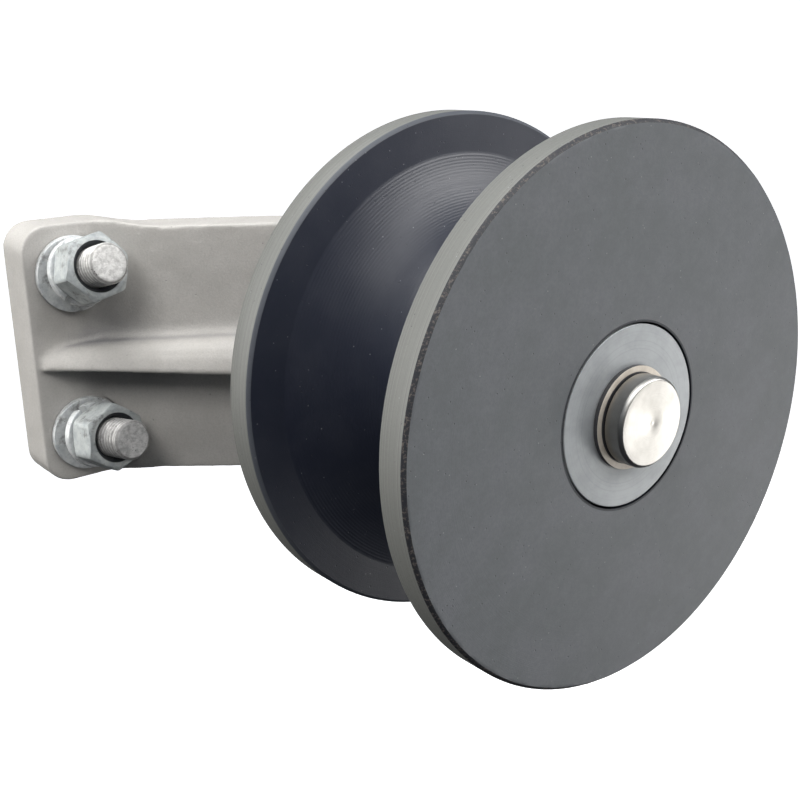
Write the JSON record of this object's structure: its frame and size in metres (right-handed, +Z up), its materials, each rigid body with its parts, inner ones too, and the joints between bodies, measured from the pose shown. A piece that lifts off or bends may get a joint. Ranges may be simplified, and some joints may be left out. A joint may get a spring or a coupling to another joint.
{
  "type": "bow roller",
  "caption": "Deep-grooved plastic roller turning on a fixed stainless axle, carried by a cast V-shaped bracket with two studded mounting pads.",
  "frame": {"origin": "on the axle's axis, in the plane of the two mounting pads' back faces", "axes": "-Y towards the roller's front face, +Y out of the pads' backs into the boat, +Z up, +X towards the right-hand pad"},
  "size_m": [0.235, 0.2296, 0.185],
  "materials": {
    "roller_plastic": "machined dark grey engineering plastic with fine turning marks",
    "cast_paint": "satin warm grey paint over a fine sand-cast surface",
    "stainless": "turned stainless steel, bright",
    "washer_steel": "satin flat stainless steel",
    "zinc_plate": "bluish zinc plating with stains",
    "bronze": "oiled bearing bronze"
  },
  "bodies": {
    "fixed": {"bracket_casting": "cast_paint", "axle": "stainless", "axle_washer": "zinc_plate", "axle_nut": "zinc_plate", "rear_thrust_washer": "washer_steel", "front_thrust_washer": "washer_steel", "retaining_ring": "stainless", "stud_upper_left": "zinc_plate", "flat_washer_upper_left": "zinc_plate", "spring_washer_upper_left": "zinc_plate", "nut_upper_left": "zinc_plate", "stud_lower_left": "zinc_plate", "flat_washer_lower_left": "zinc_plate", "spring_washer_lower_left": "zinc_plate", "nut_lower_left": "zinc_plate", "stud_upper_right": "zinc_plate", "flat_washer_upper_right": "zinc_plate", "spring_washer_upper_right": "zinc_plate", "nut_upper_right": "zinc_plate", "stud_lower_right": "zinc_plate", "flat_washer_lower_right": "zinc_plate", "spring_washer_lower_right": "zinc_plate", "nut_lower_right": "zinc_plate"},
    "spinning_roller": {"roller": "roller_plastic", "front_bush": "bronze", "rear_bush": "bronze"}
  },
  "joints": [
    {"name": "roller_spin", "type": "hinge", "parent": "fixed", "child": "spinning_roller", "pos_m": [0, -0.174, 0], "axis": [0, 1, 0], "continuous": true}
  ]
}
